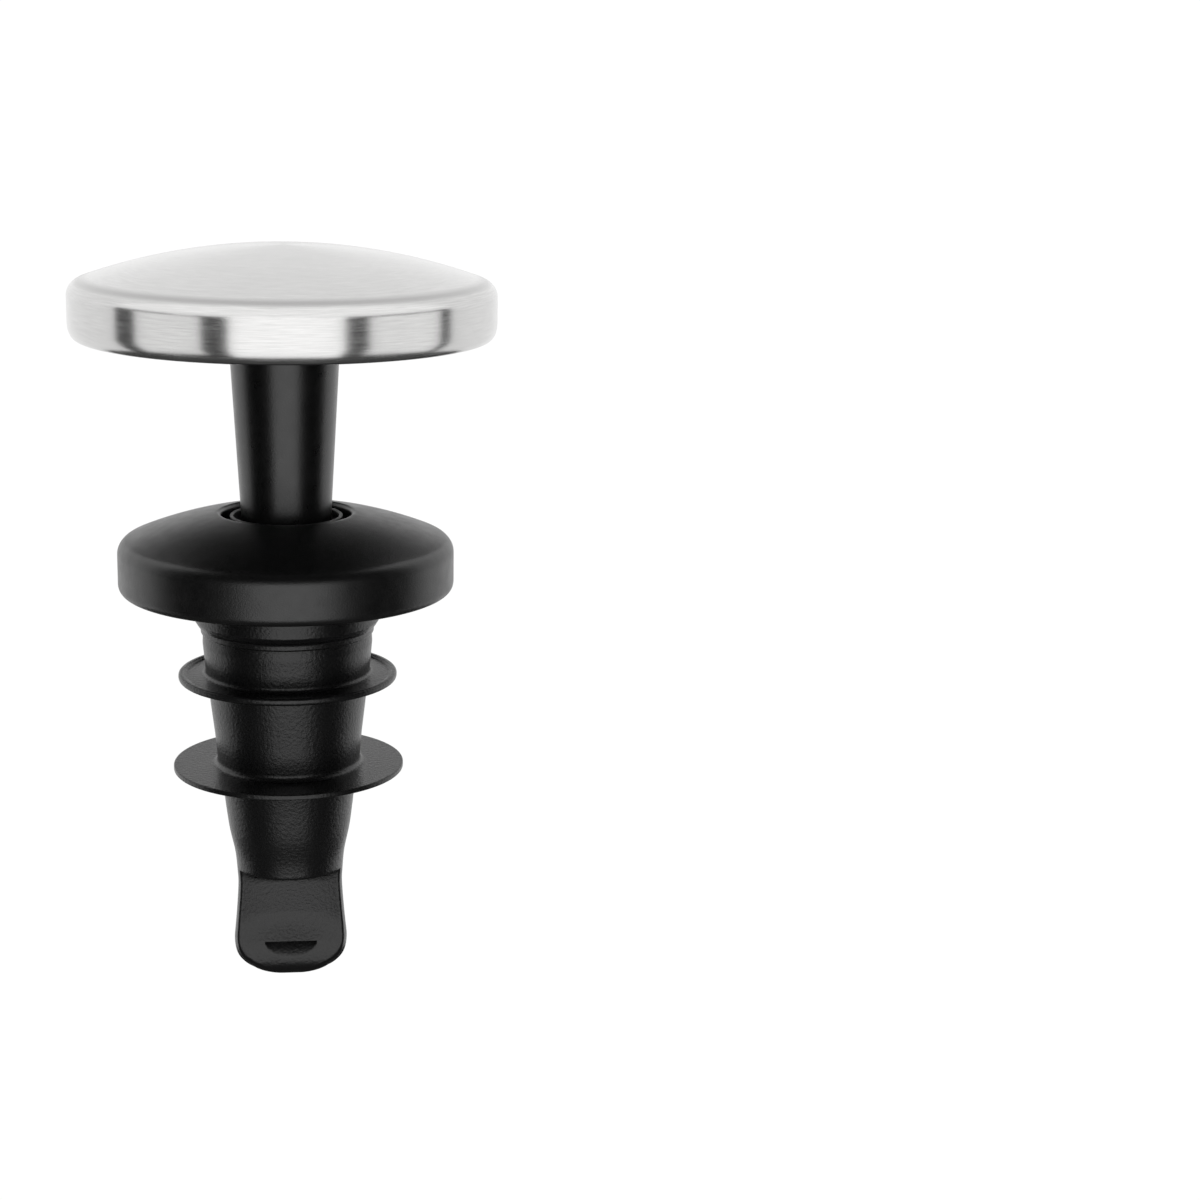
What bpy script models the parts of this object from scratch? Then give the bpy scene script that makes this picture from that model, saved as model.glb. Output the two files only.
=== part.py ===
"""Bottle pour spout with a push-pull stopper.

The frame has +Z up along the spout's axis.  Z = 0 is the underside of the collar, the
plane that rests on the bottle's mouth.  The intake window in the rubber plug faces -Y.
The stopper is modelled pulled up, with the spout open.
"""
import math

import bmesh
import bpy

MM = 0.001
GAP = 0.3 * MM
SEGMENTS = 36
SMALL_SEGMENTS = 24

# Stopper cap
CAP_RADIUS = 21.95 * MM
CAP_APEX = 36.1 * MM
CAP_DOME_RADIUS = 62.4 * MM
CAP_SHOULDER = 1.65 * MM
CAP_BOTTOM = 26.7 * MM
CAP_HEM_HEIGHT = 1.6 * MM
CAP_HEM_WIDTH = 0.8 * MM
CAP_HEM_INNER = 20.2 * MM
CAP_WALL = 0.7 * MM
CORE_RECESS_CEILING = 29.7 * MM
CORE_BOSS_RADIUS = 8.0 * MM
CORE_POCKET_RADIUS = 4.2 * MM
CORE_POCKET_FLOOR = 32.0 * MM

# Tapered stem and its guide rod
STEM_RADIUS_LOW = 4.55 * MM
STEM_RADIUS_HIGH = 5.92 * MM
STEM_BOTTOM = 5.0 * MM
STEM_TOP = 29.6 * MM
ROD_RADIUS = 1.8 * MM
ROD_END = -14.3 * MM

# Collar
COLLAR_RADIUS = 17.55 * MM
COLLAR_APEX = 8.84 * MM
COLLAR_DOME_RADIUS = 42.6 * MM
COLLAR_SHOULDER = 1.64 * MM
COLLAR_WALL = 1.3 * MM
COLLAR_HOLE = 6.785 * MM
COLLAR_EDGE = 0.45 * MM
COLLAR_BOSS_RADIUS = 9.2 * MM
BASE_RADIUS = 16.0 * MM
BASE_HOLE = 6.95 * MM
BASE_THICKNESS = 1.5 * MM
SEAT_INNER = 10.0 * MM
SEAT_RECESS = 0.25 * MM
GROOVE_CENTRE = 9.0 * MM
GROOVE_HALF_WIDTH = 0.8 * MM
GROOVE_FLOOR = 0.85 * MM

# Pour tube inside the plug
TUBE_TOP = 5.6 * MM
TUBE_MOUTH_RADIUS = 7.2 * MM
TUBE_RADIUS = 6.6 * MM
TUBE_TAPER_START = -12.0 * MM
TUBE_TAPER_END = -27.0 * MM
TUBE_TIP_RADIUS = 4.6 * MM
TUBE_END = -29.3 * MM
TUBE_BORE = 3.6 * MM
FLANGE_RADIUS = 11.0 * MM
FLANGE_THICKNESS = 1.1 * MM
LIP_TOP = 7.52 * MM
LIP_OUTER = 5.888 * MM
LIP_INNER = 5.467 * MM

# Guide hub in the tube
HUB_RADIUS = 3.7 * MM
HUB_TOP = -10.8 * MM
HUB_FLOOR = -13.0 * MM
HUB_BOTTOM = -14.15 * MM
HUB_COUNTERBORE = 2.95 * MM
HUB_BORE = 2.1 * MM
SPOKE_COUNT = 3
SPOKE_WIDTH = 1.3 * MM

# Rubber plug
PLUG_CUT = -31.7 * MM
PLUG_BORE = 4.1 * MM
UPPER_FIN_RADIUS = 11.53 * MM
UPPER_FIN_Z = -9.4 * MM
LOWER_FIN_RADIUS = 12.2 * MM
LOWER_FIN_Z = -19.35 * MM
TOE_RADIUS = 6.07 * MM
TOE_WIDEST = -38.8 * MM
TOE_BOTTOM = -43.2 * MM
TOE_POWER = 2.65
TONGUE_TOP = -31.0 * MM


# ---------------------------------------------------------------- scene and materials

def clear_scene():
    """Remove every object that is already in the scene."""
    for obj in list(bpy.data.objects):
        bpy.data.objects.remove(obj, do_unlink=True)


def make_collection(name):
    """Return a new collection linked to the scene."""
    collection = bpy.data.collections.new(name)
    bpy.context.scene.collection.children.link(collection)
    return collection


def make_material(name, colour, roughness, metallic=0.0):
    """Return a Principled material with one colour."""
    material = bpy.data.materials.new(name)
    material.use_nodes = True
    shader = material.node_tree.nodes["Principled BSDF"]
    shader.inputs["Base Color"].default_value = (*colour, 1.0)
    shader.inputs["Roughness"].default_value = roughness
    shader.inputs["Metallic"].default_value = metallic
    material.diffuse_color = (*colour, 1.0)
    return material


# ---------------------------------------------------------------- profiles

def arc(centre, radii, start, end, count):
    """Points on an elliptic arc in the (radius, height) plane, angles in degrees."""
    points = []
    for index in range(count):
        angle = math.radians(start + (end - start) * index / (count - 1))
        points.append((centre[0] + radii[0] * math.cos(angle),
                       centre[1] + radii[1] * math.sin(angle)))
    return points


def dome(radius, apex, dome_radius, shoulder, start_radius, dome_count, shoulder_count):
    """A shallow dome that turns down into a vertical rim through a round shoulder.

    The points run outwards from start_radius and end where the rim becomes vertical.
    """
    centre = apex - dome_radius
    reach = radius - shoulder
    shoulder_z = centre + math.sqrt((dome_radius - shoulder) ** 2 - reach ** 2)
    join = math.degrees(math.atan2(shoulder_z - centre, reach))
    start = math.degrees(math.acos(start_radius / dome_radius))
    points = arc((0.0, centre), (dome_radius, dome_radius), start, join, dome_count)
    points += arc((reach, shoulder_z), (shoulder, shoulder), join, 0.0, shoulder_count)[1:]
    return points


def dome_height(radius, apex, dome_radius):
    """Height of a dome at a distance from its axis."""
    return apex - dome_radius + math.sqrt(dome_radius ** 2 - radius ** 2)


# ---------------------------------------------------------------- solids

def add_mesh_object(name, mesh, material, collection):
    """Link a mesh to a collection as a named object with its material."""
    mesh.materials.append(material)
    obj = bpy.data.objects.new(name, mesh)
    collection.objects.link(obj)
    return obj


def turned(name, profile, material, collection, closed=True, segments=SEGMENTS):
    """Revolve a profile about Z.

    A closed profile makes a ring; an open one starts and ends on the axis.  Either
    runs down its outer side.
    """
    mesh = bpy.data.meshes.new(name)
    vertices = [(radius, 0.0, height) for radius, height in profile]
    edges = [(index, index + 1) for index in range(len(profile) - 1)]
    if closed:
        edges.append((len(profile) - 1, 0))
    mesh.from_pydata(vertices, edges, [])
    obj = add_mesh_object(name, mesh, material, collection)
    screw = obj.modifiers.new("Turn", "SCREW")
    screw.axis = "Z"
    screw.angle = math.tau
    screw.steps = segments
    screw.render_steps = segments
    screw.use_merge_vertices = True
    screw.merge_threshold = 0.01 * MM
    screw.use_smooth_shade = True
    return obj


def block(name, size, centre, material, collection, turn=0.0):
    """A box of the given size, turned about Z through the frame's origin."""
    mesh = bpy.data.meshes.new(name)
    shape = bmesh.new()
    bmesh.ops.create_cube(shape, size=1.0)
    bmesh.ops.scale(shape, vec=size, verts=shape.verts)
    bmesh.ops.translate(shape, vec=centre, verts=shape.verts)
    shape.to_mesh(mesh)
    shape.free()
    obj = add_mesh_object(name, mesh, material, collection)
    obj.rotation_euler.z = turn
    return obj


def side_outline(name, outline, half_width, material, collection):
    """A solid whose (y, z) outline is extruded along X to both sides."""
    mesh = bpy.data.meshes.new(name)
    shape = bmesh.new()
    corners = [shape.verts.new((-half_width, y, z)) for y, z in outline]
    face = shape.faces.new(corners)
    swept = bmesh.ops.extrude_face_region(shape, geom=[face])
    moved = [item for item in swept["geom"] if isinstance(item, bmesh.types.BMVert)]
    bmesh.ops.translate(shape, vec=(2.0 * half_width, 0.0, 0.0), verts=moved)
    bmesh.ops.recalc_face_normals(shape, faces=shape.faces)
    shape.to_mesh(mesh)
    shape.free()
    return add_mesh_object(name, mesh, material, collection)


def combine(target, other, operation):
    """Join, cut or intersect target with another object."""
    boolean = target.modifiers.new(other.name, "BOOLEAN")
    boolean.object = other
    boolean.operation = operation
    boolean.solver = "EXACT"
    other.hide_render = True
    other.display_type = "WIRE"


def ring(name, inner, outer, bottom, top, material, collection, segments=SMALL_SEGMENTS):
    """A flat ring or washer."""
    profile = [(outer, top), (outer, bottom), (inner, bottom), (inner, top)]
    return turned(name, profile, material, collection, segments=segments)


def screw_fastener(name, head_radius, head_height, shank_radius, length, material, parts, guides):
    """A pan-head screw with a cross recess, its shank hanging down from Z = 0."""
    edge = 0.25 * head_height
    profile = [(0.0, head_height), (head_radius - edge, head_height)]
    profile += [(head_radius, head_height - edge), (head_radius, 0.0)]
    profile += [(shank_radius, 0.0), (shank_radius, shank_radius - length), (0.0, -length)]
    body = turned(name, profile, material, parts, closed=False, segments=16)
    arm = 1.2 * head_radius
    slot = 0.3 * head_radius
    depth = 0.5 * head_height
    for index, size in enumerate(((arm, slot), (slot, arm))):
        cutter = block(f"{name}_recess_{index}", (*size, 2.0 * depth),
                       (0.0, 0.0, head_height), material, guides)
        cutter.parent = body
        combine(body, cutter, "DIFFERENCE")
    return body


# ---------------------------------------------------------------- stopper

def cap_shell(material, parts):
    """Thin domed steel shell whose lower edge is rolled inwards."""
    profile = dome(CAP_RADIUS, CAP_APEX, CAP_DOME_RADIUS, CAP_SHOULDER, 0.0, 7, 5)
    profile += arc((CAP_RADIUS - CAP_HEM_WIDTH, CAP_BOTTOM + CAP_HEM_HEIGHT),
                   (CAP_HEM_WIDTH, CAP_HEM_HEIGHT), 0.0, -90.0, 4)
    hem_top = CAP_BOTTOM + CAP_WALL
    profile += [(CAP_HEM_INNER, CAP_BOTTOM), (CAP_HEM_INNER, hem_top)]
    profile += [(CAP_RADIUS - CAP_WALL - 0.4 * MM, hem_top)]
    inside = dome(CAP_RADIUS - CAP_WALL, CAP_APEX - CAP_WALL, CAP_DOME_RADIUS - CAP_WALL,
                  CAP_SHOULDER - CAP_WALL, 0.0, 7, 4)
    profile += [(CAP_RADIUS - CAP_WALL, hem_top + CAP_WALL)]
    profile += reversed(inside)
    return turned("cap_shell", profile, material, parts, closed=False)


def cap_core(material, parts):
    """Moulded core under the steel shell, recessed below so fingers can lift it."""
    inset = CAP_WALL + GAP
    radius = CAP_RADIUS - inset
    profile = dome(radius, CAP_APEX - inset, CAP_DOME_RADIUS - inset, CAP_SHOULDER - inset,
                   CORE_POCKET_RADIUS, 6, 3)
    foot = CAP_BOTTOM + CAP_WALL + GAP
    socket = STEM_RADIUS_HIGH + GAP
    profile += [(radius, foot + 0.7 * MM), (radius - 0.7 * MM, foot)]
    profile += [(18.3 * MM, foot), (18.3 * MM, CORE_RECESS_CEILING)]
    profile += [(CORE_BOSS_RADIUS, CORE_RECESS_CEILING), (CORE_BOSS_RADIUS, foot)]
    profile += [(socket, foot), (socket, STEM_TOP + GAP), (1.6 * MM, STEM_TOP + GAP)]
    profile += [(1.6 * MM, CORE_POCKET_FLOOR), (CORE_POCKET_RADIUS, CORE_POCKET_FLOOR)]
    return turned("cap_core", profile, material, parts)


def stem(material, parts):
    """Tapered sealing stem with the slim guide rod below it, one moulding."""
    pilot_top = 1.5 * MM
    pilot_low = 1.0 * MM
    profile = [(0.0, 21.5 * MM), (pilot_top, 21.5 * MM), (pilot_top, STEM_TOP)]
    profile += [(STEM_RADIUS_HIGH, STEM_TOP), (STEM_RADIUS_LOW, STEM_BOTTOM + 0.4 * MM)]
    profile += [(STEM_RADIUS_LOW - 0.4 * MM, STEM_BOTTOM)]
    profile += [(ROD_RADIUS + 0.8 * MM, STEM_BOTTOM), (ROD_RADIUS, STEM_BOTTOM - 0.8 * MM)]
    profile += [(ROD_RADIUS, ROD_END), (pilot_low, ROD_END)]
    profile += [(pilot_low, ROD_END + 5.5 * MM), (0.0, ROD_END + 5.5 * MM)]
    return turned("stem", profile, material, parts, closed=False)


def cap_fasteners(material, parts, guides):
    """Screw and washer that hold the stem to the core, under the dome."""
    washer_bottom = CORE_POCKET_FLOOR + 0.2 * MM
    washer_top = washer_bottom + 0.5 * MM
    ring("cap_washer", 1.6 * MM, 3.4 * MM, washer_bottom, washer_top, material, parts)
    screw = screw_fastener("cap_screw", 2.6 * MM, 1.4 * MM, 1.2 * MM, 10.5 * MM,
                           material, parts, guides)
    screw.location.z = washer_top + 0.2 * MM


def stop_fasteners(material, parts, guides):
    """Washer and screw at the rod's end, which stop the stem from pulling out."""
    washer_top = HUB_BOTTOM - GAP
    washer_bottom = washer_top - 0.55 * MM
    ring("stop_washer", 1.1 * MM, 2.8 * MM, washer_bottom, washer_top, material, parts)
    screw = screw_fastener("stop_screw", 1.9 * MM, 1.1 * MM, 0.75 * MM, 5.0 * MM,
                           material, parts, guides)
    screw.location.z = washer_bottom - 0.2 * MM
    screw.rotation_euler.x = math.pi


# ---------------------------------------------------------------- collar

def collar_shell(material, parts):
    """Hollow domed collar with a round hole for the stem."""
    edge_centre = COLLAR_HOLE + COLLAR_EDGE
    edge_z = dome_height(edge_centre, COLLAR_APEX, COLLAR_DOME_RADIUS) - COLLAR_EDGE
    boss_foot = BASE_THICKNESS + FLANGE_THICKNESS + 2.0 * GAP
    mouth_step = TUBE_TOP + 1.3 * GAP
    profile = dome(COLLAR_RADIUS, COLLAR_APEX, COLLAR_DOME_RADIUS, COLLAR_SHOULDER,
                   edge_centre, 6, 4)
    profile += arc((COLLAR_RADIUS - 0.7 * MM, 0.9 * MM), (0.7 * MM, 0.9 * MM), 0.0, -90.0, 4)
    inside = dome(COLLAR_RADIUS - COLLAR_WALL, COLLAR_APEX - COLLAR_WALL,
                  COLLAR_DOME_RADIUS - COLLAR_WALL, 0.5 * MM, COLLAR_BOSS_RADIUS, 4, 2)
    profile += [(COLLAR_RADIUS - COLLAR_WALL, 0.0)]
    profile += reversed(inside)
    profile += [(COLLAR_BOSS_RADIUS, boss_foot), (TUBE_MOUTH_RADIUS + GAP, boss_foot)]
    profile += [(TUBE_MOUTH_RADIUS + GAP, mouth_step), (COLLAR_HOLE, mouth_step)]
    profile += arc((edge_centre, edge_z), (COLLAR_EDGE, COLLAR_EDGE), 180.0, 120.0, 3)
    return turned("collar_shell", profile, material, parts)


def collar_base(material, parts):
    """Base plate of the collar: a flat seat ring, recessed inside it for the plug's top."""
    upstand = BASE_RADIUS - 1.0 * MM
    groove_inner = GROOVE_CENTRE - GROOVE_HALF_WIDTH
    groove_outer = GROOVE_CENTRE + GROOVE_HALF_WIDTH
    profile = [(BASE_RADIUS, 2.7 * MM), (BASE_RADIUS, 0.0), (SEAT_INNER, 0.0)]
    profile += [(SEAT_INNER, SEAT_RECESS), (BASE_HOLE, SEAT_RECESS)]
    profile += [(BASE_HOLE, BASE_THICKNESS), (groove_inner, BASE_THICKNESS)]
    profile += [(groove_inner, GROOVE_FLOOR), (groove_outer, GROOVE_FLOOR)]
    profile += [(groove_outer, BASE_THICKNESS), (upstand, BASE_THICKNESS)]
    profile += [(upstand, 2.7 * MM)]
    return turned("collar_base", profile, material, parts)


def o_ring(name, radius, height, section, material, parts):
    """A rubber O-ring of round section."""
    loop = arc((radius, height), (section, section), 0.0, -315.0, 8)
    return turned(name, loop, material, parts, segments=SMALL_SEGMENTS)


# ---------------------------------------------------------------- pour tube and seals

def pour_tube(material, parts, guides):
    """Rigid tube through the plug, with a flange in the collar and a spoked hub."""
    flange_bottom = BASE_THICKNESS + GAP
    flange_top = flange_bottom + FLANGE_THICKNESS
    seat_floor = 3.2 * MM
    profile = [(TUBE_MOUTH_RADIUS, TUBE_TOP), (TUBE_MOUTH_RADIUS, flange_top)]
    profile += [(FLANGE_RADIUS, flange_top), (FLANGE_RADIUS, flange_bottom)]
    profile += [(TUBE_RADIUS, flange_bottom), (TUBE_RADIUS, TUBE_TAPER_START)]
    profile += [(TUBE_TIP_RADIUS, TUBE_TAPER_END), (TUBE_TIP_RADIUS, TUBE_END + 0.3 * MM)]
    profile += [(TUBE_TIP_RADIUS - 0.3 * MM, TUBE_END), (TUBE_BORE, TUBE_END)]
    profile += [(TUBE_BORE, -17.5 * MM), (4.9 * MM, -15.0 * MM), (5.1 * MM, -10.0 * MM)]
    profile += [(5.65 * MM, seat_floor), (6.5 * MM, seat_floor), (6.5 * MM, TUBE_TOP)]
    tube = turned("pour_tube", profile, material, parts)
    hub_profile = [(HUB_RADIUS, HUB_TOP), (HUB_RADIUS, HUB_BOTTOM), (HUB_BORE, HUB_BOTTOM)]
    hub_profile += [(HUB_BORE, HUB_FLOOR), (HUB_COUNTERBORE, HUB_FLOOR)]
    hub_profile += [(HUB_COUNTERBORE, HUB_TOP)]
    hub = turned("hub", hub_profile, material, guides, segments=SMALL_SEGMENTS)
    spoke_start = 3.3 * MM
    spoke_end = 5.6 * MM
    spoke_size = (spoke_end - spoke_start, SPOKE_WIDTH, 2.4 * MM)
    spoke_centre = (0.5 * (spoke_start + spoke_end), 0.0, 0.5 * (HUB_TOP + HUB_BOTTOM))
    for index in range(SPOKE_COUNT):
        turn = math.tau * (index + 0.25) / SPOKE_COUNT
        spoke = block(f"spoke_{index}", spoke_size, spoke_centre, material, guides, turn)
        combine(hub, spoke, "UNION")
    combine(tube, hub, "UNION")
    return tube


def lip_seal(material, parts):
    """Soft ring seated in the tube's mouth; its thin lip closes on the stem's taper."""
    base_top = TUBE_TOP
    base_bottom = 3.2 * MM + GAP
    profile = [(LIP_OUTER, LIP_TOP - 0.12 * MM), (LIP_OUTER, base_top + 0.1 * MM)]
    profile += [(6.2 * MM, base_top - 0.2 * MM), (6.2 * MM, base_bottom)]
    profile += [(5.6 * MM, base_bottom), (LIP_INNER, LIP_TOP - 0.12 * MM)]
    profile += [(LIP_INNER + 0.12 * MM, LIP_TOP), (LIP_OUTER - 0.12 * MM, LIP_TOP)]
    return turned("lip_seal", profile, material, parts)


def tube_nut(material, parts):
    """Nut that clamps the collar's base up against the tube's flange."""
    outer = 8.35 * MM
    inner = TUBE_RADIUS + GAP
    top = SEAT_RECESS - GAP
    profile = [(outer - 0.3 * MM, top), (outer, top - 0.3 * MM), (outer, -2.0 * MM)]
    profile += [(outer - 0.3 * MM, -2.3 * MM), (inner, -2.3 * MM), (inner, top)]
    return turned("tube_nut", profile, material, parts)


def guide_parts(plastic, rubber, parts):
    """Bush that guides the rod, and the O-ring below it that grips the rod."""
    bore = ROD_RADIUS + 0.08 * MM
    flange_bottom = HUB_TOP + 0.2 * MM
    profile = [(3.4 * MM, flange_bottom + 0.6 * MM), (3.4 * MM, flange_bottom)]
    profile += [(2.7 * MM, flange_bottom), (2.7 * MM, -11.9 * MM)]
    profile += [(bore, -11.9 * MM), (bore, flange_bottom + 0.6 * MM)]
    turned("guide_bush", profile, plastic, parts, segments=SMALL_SEGMENTS)
    section = 0.42 * MM
    radius = ROD_RADIUS + 0.1 * MM + section
    o_ring("rod_o_ring", radius, -12.45 * MM, section, rubber, parts)


# ---------------------------------------------------------------- rubber plug

def fin(radius, height, thickness, root, dish):
    """Outline of a round-edged fin that grows out of the plug, listed from top down."""
    half = 0.5 * thickness
    rim = radius - half
    points = [(root, height + half + 0.7 * MM), (root + 0.6 * MM, height + half - dish)]
    points += [(rim - 0.8 * MM, height + half - dish)]
    points += arc((rim, height), (half, half), 90.0, -90.0, 5)
    points += [(root + 0.5 * MM, height - half - 0.5 * dish)]
    points += [(root - 0.05 * MM, height - half - 0.6 * MM)]
    return points


def toe_radius(height):
    """Radius of the plug's rounded toe at a height below its widest point."""
    drop = (TOE_WIDEST - height) / (TOE_WIDEST - TOE_BOTTOM)
    return TOE_RADIUS * (1.0 - drop ** TOE_POWER) ** (1.0 / TOE_POWER)


def sleeve(material, parts, guides):
    """Rubber plug with two sealing fins, cut away in front above its tongue."""
    nut_floor = -2.6 * MM
    bore_top = TUBE_RADIUS + GAP
    bore_tip = TUBE_TIP_RADIUS + GAP
    top = SEAT_RECESS - GAP
    profile = [(9.6 * MM, top), (9.5 * MM, -3.0 * MM), (9.3 * MM, -3.9 * MM)]
    profile += [(8.93 * MM, -4.3 * MM), (8.85 * MM, -6.4 * MM)]
    profile += fin(UPPER_FIN_RADIUS, UPPER_FIN_Z, 0.95 * MM, 8.6 * MM, 0.3 * MM)
    profile += [(7.8 * MM, -15.7 * MM)]
    profile += fin(LOWER_FIN_RADIUS, LOWER_FIN_Z, 0.6 * MM, 7.45 * MM, 0.0)
    profile += [(6.8 * MM, -23.6 * MM), (6.43 * MM, -26.3 * MM), (5.86 * MM, -29.0 * MM)]
    profile += [(5.66 * MM, PLUG_CUT + 0.4 * MM), (5.3 * MM, PLUG_CUT), (PLUG_BORE, PLUG_CUT)]
    profile += [(PLUG_BORE, TUBE_END - GAP), (bore_tip, TUBE_END - GAP)]
    profile += [(bore_tip, TUBE_TAPER_END), (bore_top, TUBE_TAPER_START)]
    profile += [(bore_top, nut_floor), (8.65 * MM, nut_floor), (8.65 * MM, top)]
    plug = turned("sleeve", profile, material, parts)

    neck = [(5.4 * MM, TONGUE_TOP), (5.6 * MM, -32.5 * MM), (5.63 * MM, -34.2 * MM)]
    neck += [(5.92 * MM, -36.9 * MM)]
    steps = 7
    toe = []
    for index in range(steps):
        reach = math.sin(0.5 * math.pi * index / steps)
        height = TOE_WIDEST + (TOE_BOTTOM - TOE_WIDEST) * reach
        toe.append((toe_radius(height), height))
    outline = [(0.0, TONGUE_TOP), *neck, *toe, (0.0, TOE_BOTTOM)]
    tongue = turned("tongue", outline, material, guides, closed=False)

    face = 0.0
    front = -9.0 * MM
    cut = [(front, -30.0 * MM), (face, -30.0 * MM), (face, -36.5 * MM)]
    cut += [(-0.3 * MM, -38.0 * MM), (-1.5 * MM, -39.4 * MM), (-2.4 * MM, -40.6 * MM)]
    cut += [(-2.6 * MM, -41.4 * MM), (-2.2 * MM, -42.4 * MM), (-1.0 * MM, -44.0 * MM)]
    cut += [(front, -44.0 * MM)]
    window = side_outline("window", cut, 8.0 * MM, material, guides)
    combine(tongue, window, "DIFFERENCE")
    combine(plug, tongue, "UNION")
    return plug


# ---------------------------------------------------------------- assembly

def main():
    """Build every piece of the pour spout."""
    clear_scene()
    parts = make_collection("pour_spout")
    guides = make_collection("guides")
    steel = make_material("brushed_steel", (0.62, 0.61, 0.60), 0.32, 1.0)
    bright = make_material("fastener_steel", (0.55, 0.55, 0.55), 0.25, 1.0)
    plastic = make_material("black_plastic", (0.018, 0.018, 0.019), 0.42)
    inner_plastic = make_material("inner_plastic", (0.05, 0.05, 0.052), 0.5)
    rubber = make_material("black_rubber", (0.02, 0.02, 0.021), 0.48)
    seal = make_material("soft_seal", (0.03, 0.03, 0.03), 0.6)

    cap_shell(steel, parts)
    cap_core(plastic, parts)
    stem(plastic, parts)
    cap_fasteners(bright, parts, guides)
    stop_fasteners(bright, parts, guides)
    collar_shell(plastic, parts)
    collar_base(plastic, parts)
    o_ring("flange_o_ring", GROOVE_CENTRE, GROOVE_FLOOR + 0.43 * MM, 0.35 * MM, seal, parts)
    pour_tube(inner_plastic, parts, guides)
    lip_seal(seal, parts)
    tube_nut(inner_plastic, parts)
    guide_parts(inner_plastic, seal, parts)
    sleeve(rubber, parts, guides)


main()
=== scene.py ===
"""Looks of the bottle pour spout: fine meshes, materials, studio and camera.

Profiles are in millimetres, as (radius, height) points, and become metres in the meshes.
"""
import functools
import math

import bmesh
import bpy
import numpy as np
from mathutils import Matrix, Vector


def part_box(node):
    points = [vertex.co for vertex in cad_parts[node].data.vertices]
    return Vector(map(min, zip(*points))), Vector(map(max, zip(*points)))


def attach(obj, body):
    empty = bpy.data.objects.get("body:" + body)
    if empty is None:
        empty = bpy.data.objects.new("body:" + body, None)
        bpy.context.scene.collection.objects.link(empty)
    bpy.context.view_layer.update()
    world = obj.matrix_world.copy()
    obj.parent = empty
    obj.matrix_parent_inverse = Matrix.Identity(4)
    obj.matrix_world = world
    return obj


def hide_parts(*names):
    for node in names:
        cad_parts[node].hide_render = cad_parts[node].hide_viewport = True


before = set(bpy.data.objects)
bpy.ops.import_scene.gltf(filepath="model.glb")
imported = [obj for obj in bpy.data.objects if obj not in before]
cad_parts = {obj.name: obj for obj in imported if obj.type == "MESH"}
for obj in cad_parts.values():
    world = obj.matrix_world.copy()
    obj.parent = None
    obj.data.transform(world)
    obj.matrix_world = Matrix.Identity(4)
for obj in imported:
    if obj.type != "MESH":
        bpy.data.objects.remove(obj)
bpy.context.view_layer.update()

MM = 0.001
FINE = 256
MEDIUM = 128
SMALL = 72


@functools.cache
def reach(node):
    """Radius, lowest and highest height of a turned CAD node, in millimetres."""
    low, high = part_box(node)
    return high.x / MM, low.z / MM, high.z / MM


# Driving dimensions that the frame's boxes don't give, in millimetres
CAP_DOME_RADIUS = 62.4
CAP_SHOULDER = 1.65
CAP_WALL = 0.7
CAP_CORNER_Z = 32.55
CAP_HEM_WIDTH = 0.8
CAP_HEM_HEIGHT = 1.6
COLLAR_DOME_RADIUS = 42.6
COLLAR_APEX = 8.84
COLLAR_SHOULDER = 1.64
COLLAR_HOLE = 6.785
COLLAR_EDGE = 0.45
LIP_INNER = 5.467
LIP_OUTER = 5.888
CUT_Z = -30.75
CUT_EDGE = 0.35
CUT_FILLET = 1.8
FACE_DEPTH = 1.5
FACE_HOLLOW = 0.5
FACE_CORNER = 0.35
HOLLOW_END = -39.0
HOLLOW_FADE = 3.0
ROLL_START = -38.8
ROLL_END = -42.6
ROLL_CORNER = 2.4
LIP_DEPTH = 2.1
LIP_POWER = 2.2
CURL_START = -36.5
CURL_END = -41.1
NOTCH_TOP = -39.05
NOTCH_HALF_WIDTH = 2.8
NOTCH_HEIGHT = 1.8
NOTCH_DEPTH = 0.75
NOTCH_FADE = 1.4
TOE_WIDEST = -38.8
TOE_RADIUS = 6.07
TOE_POWER = 2.65
TOE_TUCK = 0.14
SIDE_BLEND = 0.08
INTAKE_RADIUS = 4.1


# ------------------------------------------------------------------ profiles

def arc(centre, radii, start, end, count):
    """Points on an elliptic arc, angles in degrees."""
    angles = np.radians(np.linspace(start, end, count))
    return [(centre[0] + radii[0] * math.cos(a), centre[1] + radii[1] * math.sin(a)) for a in angles]


def dome(radius, apex, dome_radius, shoulder, start_radius, dome_count=24, shoulder_count=14):
    """A shallow dome and its round shoulder, from start_radius out to the vertical rim."""
    centre = apex - dome_radius
    reach_in = radius - shoulder
    shoulder_z = centre + math.sqrt((dome_radius - shoulder) ** 2 - reach_in ** 2)
    join = math.degrees(math.atan2(shoulder_z - centre, reach_in))
    start = math.degrees(math.acos(start_radius / dome_radius))
    points = arc((0.0, centre), (dome_radius, dome_radius), start, join, dome_count)
    points += arc((reach_in, shoulder_z), (shoulder, shoulder), join, 0.0, shoulder_count)[1:]
    return points


def dome_height(radius, apex, dome_radius):
    """Height of a dome at a distance from its axis."""
    return apex - dome_radius + math.sqrt(dome_radius ** 2 - radius ** 2)


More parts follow.
